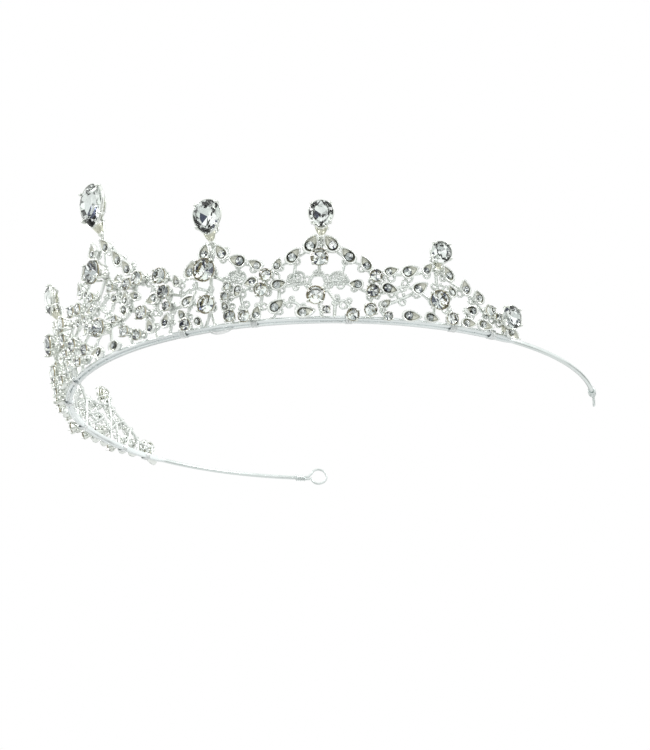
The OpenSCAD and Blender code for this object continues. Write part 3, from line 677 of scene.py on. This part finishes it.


# painted reflection tones of the peak stones' outer and inner back facets, by the angle of the peak
PAINTED_REFLECTION_TONES = {
    0: ((1.0, 1.0, 0.9, 0.7, 0.6, 0.55, 0.6, 0.7, 0.95, 1.0), (1.0, 0.7, 0.5, 0.42, 0.04)),
    26.2: ((1.0, 1.0, 0.8, 0.6, 0.7, 0.6, 0.5, 0.7, 1.0, 1.0), (1.0, 0.7, 0.55, 0.04, 0.9)),
    46.2: ((1.0, 1.0, 0.75, 0.6, 0.6, 0.5, 0.7, 0.8, 1.0, 1.0), (1.0, 0.6, 0.7, 0.04, 0.9)),
    67.3: ((0.9, 0.6, 0.9, 0.5, 0.8, 0.4, 0.9, 0.6, 0.04, 0.9), (0.5, 0.9, 0.35, 0.8, 0.6)),
    82.0: ((0.9, 0.5, 0.8, 0.4, 0.9, 0.6, 0.04, 0.9, 0.6, 0.8), (0.9, 0.4, 0.8, 0.6, 0.2)),
}


def peak(bc, bs, p):
    """Open basket with a thin rim, a flared neck below it, and its stone with the tip down."""
    t, z, l, w, pw, k, lift = p
    out = SEAT + lift
    n = 40

    def full(a, s):
        tip = 1.0 if pw == 0 else max(math.sin(a / 2), 0.0) ** pw
        return l / 2 * s * math.cos(a), w / 2 / k * s * math.sin(a) * tip

    depth = min(lift + 0.1, 0.25 * w)
    big_gem(bs, place(t, z, out + 0.14, turn=-90), full, 0.62, 0.13 * w + 0.1, depth, *PAINTED_REFLECTION_TONES[t])
    base = place(t, z, SEAT, turn=-90)

    def at(*p):
        return base @ Vector(p)

    def ring(s, y):
        return [at(*full(2 * math.pi * i / n, s), y) for i in range(n)]

    def wide(i, off):
        x, y = full(2 * math.pi * i / n, 1.0)
        q = math.hypot(x, y) or 1.0
        return x * (1 + off / q), y * (1 + off / q)

    # thin rim round the stone and the tapered gallery under it
    prof = ((0.02, -0.62), (0.16, -0.66), (0.24, -0.5), (0.24, 0.02), (0.16, 0.20), (0.04, 0.20), (0.02, 0.0))
    skin(bc, [[at(*wide(i, off), lift + y) for i in range(n)] for off, y in prof], 0, closed=True)
    for s, y, r in ((0.58, 0.30, 0.28), (0.84, lift - 0.95, 0.20)):
        tube(bc, ring(s, y), r, 6, closed=True)
    # dull shell behind the stone, seen through the gallery
    prof = ((0.995, -0.09 * depth), (0.62, -0.70 * depth - 0.06), (0.12, -depth - 0.08))
    skin(bc, [ring(s, lift + 0.14 + y) for s, y in prof], 2, smooth=False, cap_start=False)
    # prongs, each ending in a ball
    for a in PRONG_TURNS:
        x, y = full(math.radians(a), 1.0)
        q = Vector((x, y, 0))
        u = q.normalized()
        path = [
            q * 0.62 + Vector((0, 0, 0.25)),
            q * 0.86 + Vector((0, 0, lift * 0.5)),
            q + u * 0.24 + Vector((0, 0, lift - 0.5)),
            q + u * 0.30 + Vector((0, 0, lift + 0.2)),
            q + u * 0.20 + Vector((0, 0, lift + 0.62)),
            q - u * 0.12 + Vector((0, 0, lift + 0.78)),
        ]
        r = 0.20 + 0.012 * w
        tube(bc, [base @ v for v in path], [r, r * 1.05, r * 1.1, r * 1.1, r, r * 0.7], 8)
        ball(bc, base @ (q + u * 0.10 + Vector((0, 0, lift + 0.66))), 0.33 + 0.012 * w, seg=10, rings=6)
    # cross bars behind the stone
    for sgn in (1, -1):
        bar = [at(l * 0.10, sgn * w * 0.26, 0.30), at(-l * 0.10, 0, 0.22), at(-l * 0.20, sgn * w * 0.26, 0.30)]
        tube(bc, bar, 0.24, 6)
    if z < 10:
        # the last peak sits on the rail by a short stub
        tube(bc, [at(l * 0.30, 0, 0.3), at(l * 0.50, 0, 0.15), at(l * 0.58, 0, 0.0)], [0.9, 0.7, 0.5], 8, mat=2)
        return
    # flared neck: place along it and radius
    e, rn = l / 2, (0.9 if pw == 0 else 1.55)
    prof = (
        (0.0, 0.62), (0.10, 0.80), (0.20, 0.82), (0.28, 0.62), (0.55, 0.70 * rn),
        (0.85, 0.92 * rn), (1.0, rn), (1.0, rn - 0.15), (0.8, rn * 0.7),
    )
    run, climb = -2.6, lift - 1.35
    sd = Vector((0, 1, 0))
    hi = Vector((run, 0, climb)).normalized().cross(sd)
    rows = []
    for f, q in prof:
        c = Vector((e + 1.9 + run * f, 0, 0.25 + climb * f))
        row = []
        for i in range(18):
            v = c + (sd * math.cos(2 * math.pi * i / 18) + hi * math.sin(2 * math.pi * i / 18) * 0.8) * q
            v.z = max(v.z, -0.05)
            row.append(base @ v)
        rows.append(row)
    skin(bc, rows, [0, 0, 0, 2, 2, 2, 0, 1])
    tube(bc, [at(e + 0.6, 0, 0.35), at(e + 1.9, 0, 0.15), at(e + 2.6, 0, -0.1)], [0.4, 0.45, 0.36], 8)


def headband():
    """One wire: its section is a rounded strip in front and round at both ends."""
    b = Build()
    rings = []
    stations = [-BAND_HALF + i * 0.5 for i in range(int(BAND_HALF * 4) + 1)]
    for t in stations:
        f = min(max((STRIP_HALF + 1.5 - abs(t)) / 3.0, 0.0), 1.0)
        f = f * f * (3 - 2 * f)
        hw = END_D / 2 + (BAND_T / 2 - END_D / 2) * f
        hh = END_D / 2 + (BAND_H / 2 - END_D / 2) * f
        c = arc(t, BAND_R, RAIL_Z)
        a = math.radians(t)
        out = Vector((math.sin(a), -math.cos(a), 0))
        e = 2.0 + 3.0 * f
        row = []
        for k in range(16):
            ang = 2 * math.pi * k / 16
            cx, cz = math.cos(ang), math.sin(ang)
            high = Vector((0, 0, hh * math.copysign(abs(cz) ** (2 / e), cz)))
            row.append(c + out * hw * math.copysign(abs(cx) ** (2 / e), cx) + high)
        rings.append(row)
    skin(b, rings, [1 if abs(t) > STRIP_HALF + 1 else 0 for t in stations])
    b.object("headband_wire", [M_BAND, M_END], ["headband"], "headband_wire")


def base_rail():
    """The wire that carries the panel."""
    b = Build()
    pts = [arc(-STRIP_HALF + i * 0.5, RAIL_R, RAIL_Z) for i in range(int(STRIP_HALF * 4) + 1)]
    tube(b, pts, RAIL_D / 2, 10)
    # solder runs between the rail and the headband
    for i in range(34):
        t = -80 + i * 4.85 + (hashed(i) - 0.5) * 2.4
        for zz in (0.42, -0.44):
            ball(b, arc(t, RAIL_R - 0.5, RAIL_Z + zz), 0.28 + 0.14 * hashed(i, 3), seg=8, rings=5)
    b.object("rail_and_solder", [M_BAND], ["base_rail"], "rail_wire")


def wraps():
    """Binding wire: the turns that tie the rail to the band, and a bight that dips under it."""
    b = Build()
    # the bight is beside the first peak
    for sgn in (1, -1):
        for dip, wide in ((1.12, 2.3), (0.66, 1.7)):
            pts = []
            for i in range(15):
                a = math.pi * i / 14
                pts.append(arc(sgn * (27.0 + wide * math.cos(a)), RAIL_R - 0.1, BASE_Z + 0.1 - dip * math.sin(a)))
            tube(b, pts, TIE_R, 6)
    ri, ro = BAND_R - BAND_T / 2 - 0.12, RAIL_R + RAIL_D / 2 + 0.12
    z0, z1 = BASE_Z - 0.14, BASE_Z + BAND_H + 0.14
    for t0 in WRAPS:
        pts = []
        turns, per = 5, 16
        for i in range(turns * per + 1):
            u = i / per
            ang = 2 * math.pi * u
            cx, cz = math.cos(ang), math.sin(ang)
            e = 2 / 3.2
            rr = (ri + ro) / 2 + (ro - ri) / 2 * math.copysign(abs(cx) ** e, cx)
            zz = (z0 + z1) / 2 + (z1 - z0) / 2 * math.copysign(abs(cz) ** e, cz)
            pts.append(arc(t0 + (u - turns / 2) * 0.27 + (hashed(t0, i // 8) - 0.5) * 0.03, rr, zz))
        tube(b, pts, TIE_R, 6)
    b.object("binding_wire_turns", [M_WIRE], ["binding_wraps"], "binding_wire")


def hair_loop(side):
    """The loop at one end of the headband and the tail that is wound on it."""
    b = Build()
    b.mirror = side < 0
    m = Matrix.Rotation(math.radians(LOOP_DEG), 4, "Z") @ Matrix.Translation((0, -BAND_R, RAIL_Z))
    # the loop: leaves the headband's end, goes round and comes back to be wound on it
    c = REACH
    rr = EYE_R + EYE_W / 2
    pts = [Vector((HALF_TAIL - 0.6, 0, 0.20)), Vector((HALF_TAIL + 0.6, 0, 0.42)), Vector((HALF_TAIL + 1.3, 0, 0.52))]
    for i in range(28):
        a = math.radians(160 - 12 * i)
        stretch = 1.12 if math.cos(a) > 0 else 1.0
        x, z = c + rr * stretch * math.cos(a), EYE_LIFT + rr * math.sin(a)
        pts.append(Vector((x, 0.05 * rr * math.cos(a), z)))
    for x, z in ((1.3, -0.32), (0.6, -0.40), (-0.6, -0.20)):
        pts.append(Vector((HALF_TAIL + x, 0, z)))
    tube(b, [m @ p for p in pts], [0.34, 0.36, 0.36] + [0.36] * 28 + [0.36, 0.36, 0.34], 10)
    # wound tail
    turns, per = 5, 14
    coil = []
    for i in range(turns * per + 1):
        a = 2 * math.pi * i / per
        x = -HALF_TAIL + 0.2 + (2 * HALF_TAIL - 0.1) * i / (turns * per)
        q = 0.78 + 0.04 * math.sin(i * 0.7)
        coil.append(m @ Vector((x, q * math.cos(a), q * math.sin(a))))
    tube(b, coil, [0.14] + [0.24] * (len(coil) - 2) + [0.14], 6)
    name = "right_hair_loop" if side > 0 else "left_hair_loop"
    b.object(name + "_wire", [M_END], [name], "loop_wire")


headband()
base_rail()
wraps()
hair_loop(1)
hair_loop(-1)

SIDES = [("centre", "", 1)]
for side, sign in (("right_", 1), ("left_", -1)):
    SIDES += [(sec, side, sign) for sec in ("first", "second", "third", "fourth")]
for sec, side, sign in SIDES:
    pre = side + sec
    bw, bcup, bleaf, bstone, bpc, bps = (Build() for _ in range(6))
    for q in (bw, bcup, bleaf, bstone, bpc, bps):
        q.mirror = sign < 0
    scrollwork(bw, sec)
    rounds, leaves = list(ROUNDS[sec]), list(LEAVES[sec])
    if sec == "centre":
        rounds = MID_ROUNDS + rounds + [(-t, z, d) for t, z, d in rounds]
        leaves = leaves + [(-t, z, l, w, 180 - a) for t, z, l, w, a in leaves]
    for t, z, d in rounds:
        stone_cup(bcup, t, z, d)
        round_gem(bstone, t, z, d, SEAT + cup_h(d))
    for lf in leaves:
        leaf_cup(bleaf, *lf)
        leaf_gem(bstone, *lf)
    peak(bpc, bps, PEAKS[sec])
    bw.object(pre + "_scrolls", [M_SCROLL], [pre + "_scrollwork"], "scroll_metal")
    leafn = "_leaf_cup" if sec == "fourth" else "_leaf_cups"
    bleaf.object(pre + "_leaves", [M_LEAF, M_HOLLOW_PAINTED_SHADE], [pre + leafn], "leaf_metal")
    if rounds:
        bcup.object(pre + "_cups", [M_CUP, M_LACQUER], [pre + "_stone_cups"], "cup_metal")
    gemn = "_leaf_stone" if sec == "fourth" else "_round_stones"
    bstone.object(pre + "_crystals", [M_CRYSTAL, M_FOIL_PAINTED_REFLECTION], [pre + gemn], "round_crystal")
    bpc.object(pre + "_peak_basket", [M_CUP, M_LACQUER, M_NECK], [pre + "_peak_cup"], "cup_metal")
    bps.object(pre + "_peak_crystal", [M_CRYSTAL, M_FOIL_PAINTED_REFLECTION], [pre + "_peak_stone"], "peak_crystal")

# ---------------------------------------------------------------- floor, light, camera
# where the camera is, in degrees and millimetres round the band's centre, and its lens for a 36 mm high sensor
AZ, EL, ROLL, DIST = 48.111, -18.975, -0.177, 382.245
SHIFT_X, SHIFT_Y = -1.811, 11.009
SENSOR, LENS = 36.0, 67.379856
az, el, ro = math.radians(AZ), math.radians(EL), math.radians(ROLL)
back = Vector((math.sin(az) * math.cos(el), -math.cos(az) * math.cos(el), math.sin(el)))
right = (-back).cross(Vector((0, 0, 1))).normalized()
up = right.cross(-back)
r2 = right * math.cos(ro) + up * math.sin(ro)
u2 = up * math.cos(ro) - right * math.sin(ro)
pos = back * DIST + r2 * SHIFT_X + u2 * SHIFT_Y + Vector((0, MID_Y, BASE_Z))
cam = bpy.data.cameras.new("view")
cam.sensor_fit = "VERTICAL"
cam.sensor_height = SENSOR
cam.lens = LENS
cam.clip_start, cam.clip_end = 0.01, 20
co = bpy.data.objects.new("view", cam)
bpy.context.scene.collection.objects.link(co)
rot = Matrix((r2, u2, back)).transposed()
co.matrix_world = Matrix.Translation(pos * MM) @ rot.to_4x4()
bpy.context.scene.camera = co

FLOOR = 3.0  # half its side, in metres
fb = bpy.data.meshes.new("floor")
corners = [(x * FLOOR, y * FLOOR, 0) for x, y in ((-1, -1), (1, -1), (1, 1), (-1, 1))]
fb.from_pydata(corners, [], [(0, 1, 2, 3)])
floor = bpy.data.objects.new("floor", fb)
bpy.context.scene.collection.objects.link(floor)
fm = bpy.data.materials.new("pale_floor")
fm.use_nodes = True
nt = fm.node_tree
pb = nt.nodes["Principled BSDF"]
n = noise(nt, 6.0)
c = ramp(nt, n.outputs["Fac"], [(0.3, (0.90, 0.90, 0.895)), (0.7, (0.93, 0.93, 0.93))])
nt.links.new(c.outputs["Color"], pb.inputs["Base Color"])
pb.inputs["Roughness"].default_value = 0.6
# the camera is below the floor's level, so the floor is clear from underneath
geo = nt.nodes.new("ShaderNodeNewGeometry")
clear = nt.nodes.new("ShaderNodeBsdfTransparent")
mix = nt.nodes.new("ShaderNodeMixShader")
nt.links.new(geo.outputs["Backfacing"], mix.inputs["Fac"])
nt.links.new(pb.outputs["BSDF"], mix.inputs[1])
nt.links.new(clear.outputs["BSDF"], mix.inputs[2])
nt.links.new(mix.outputs["Shader"], nt.nodes["Material Output"].inputs["Surface"])
fb.materials.append(fm)
floor.visible_glossy = False
floor.visible_transmission = False

world = bpy.data.worlds.new("tent")
bpy.context.scene.world = world
world.use_nodes = True
wt = world.node_tree
wt.nodes.clear()
tc = wt.nodes.new("ShaderNodeTexCoord")


def product(a, b):
    """Multiplies two numbers or sockets of the world."""
    m = wt.nodes.new("ShaderNodeMath")
    m.operation = "MULTIPLY"
    for i, v in enumerate((a, b)):
        if isinstance(v, (int, float)):
            m.inputs[i].default_value = v
        else:
            wt.links.new(v, m.inputs[i])
    return m.outputs[0]


def patch(direction, inner, outer, keep):
    """A soft-edged dark patch of the tent round a direction: angles in degrees, keep is what light is left."""
    d = wt.nodes.new("ShaderNodeVectorMath")
    d.operation = "DOT_PRODUCT"
    nm = wt.nodes.new("ShaderNodeVectorMath")
    nm.operation = "NORMALIZE"
    wt.links.new(tc.outputs["Generated"], nm.inputs[0])
    wt.links.new(nm.outputs["Vector"], d.inputs[0])
    d.inputs[1].default_value = tuple(direction)
    r = wt.nodes.new("ShaderNodeMapRange")
    r.interpolation_type = "SMOOTHSTEP"
    r.inputs["From Min"].default_value = math.cos(math.radians(outer))
    r.inputs["From Max"].default_value = math.cos(math.radians(inner))
    r.inputs["To Min"].default_value, r.inputs["To Max"].default_value = 1.0, keep
    wt.links.new(d.outputs["Value"], r.inputs["Value"])
    return r.outputs["Result"]


level = None
# what the metal and the stones see: white above, dimmer below, a dark room behind the camera
patches = [(Vector((0, 0, -1)), 60, 95, 0.80), (back.normalized(), 4, 17, 0.12)]
for k, (off, rise, inner, outer, keep) in enumerate((
        (62, 0.05, 8, 18, 0.35), (-58, 0.10, 7, 17, 0.30), (128, 0.0, 9, 20, 0.4), (-124, 0.05, 9, 20, 0.4),
        (182, 0.10, 8, 20, 0.4), (28, 0.95, 5, 12, 0.4), (-34, 1.1, 5, 11, 0.4), (150, 1.0, 5, 12, 0.5),
        (15, -0.9, 6, 16, 0.35), (95, -0.7, 6, 16, 0.45), (-80, -0.8, 6, 16, 0.4), (200, -0.8, 6, 16, 0.45))):
    a = math.radians(AZ + off)
    patches.append((Vector((math.sin(a), -math.cos(a), rise)).normalized(), inner, outer, keep))
for p in patches:
    s = patch(*p)
    level = s if level is None else product(level, s)
lp = wt.nodes.new("ShaderNodeLightPath")
seen = wt.nodes.new("ShaderNodeBackground")
seen.inputs["Color"].default_value = (1, 1, 1, 1)
seen.inputs["Strength"].default_value = 1.0
lit = wt.nodes.new("ShaderNodeBackground")
lit.inputs["Color"].default_value = (0.975, 1.0, 0.985, 1)
wt.links.new(product(level, 1.16), lit.inputs["Strength"])
wm = wt.nodes.new("ShaderNodeMixShader")
wo = wt.nodes.new("ShaderNodeOutputWorld")
wt.links.new(lp.outputs["Is Camera Ray"], wm.inputs["Fac"])
wt.links.new(lit.outputs["Background"], wm.inputs[1])
wt.links.new(seen.outputs["Background"], wm.inputs[2])
wt.links.new(wm.outputs["Shader"], wo.inputs["Surface"])


def softbox(name, where, size, power):
    """A rectangular lamp that faces the tiara."""
    l = bpy.data.lights.new(name, "AREA")
    l.shape = "RECTANGLE"
    l.size, l.size_y = size
    l.energy = power
    o = bpy.data.objects.new(name, l)
    bpy.context.scene.collection.objects.link(o)
    o.location = where
    o.rotation_euler = (-Vector(where)).to_track_quat("-Z", "Y").to_euler()
    o.visible_camera = False


softbox("key", (-0.6, -0.9, 0.9), (0.5, 0.5), 9)
softbox("rim", (0.9, 0.5, 0.8), (0.3, 0.6), 5)

vs = bpy.context.scene.view_settings
vs.view_transform = "Standard"
vs.look = "None"
vs.exposure, vs.gamma = 0.0, 1.0
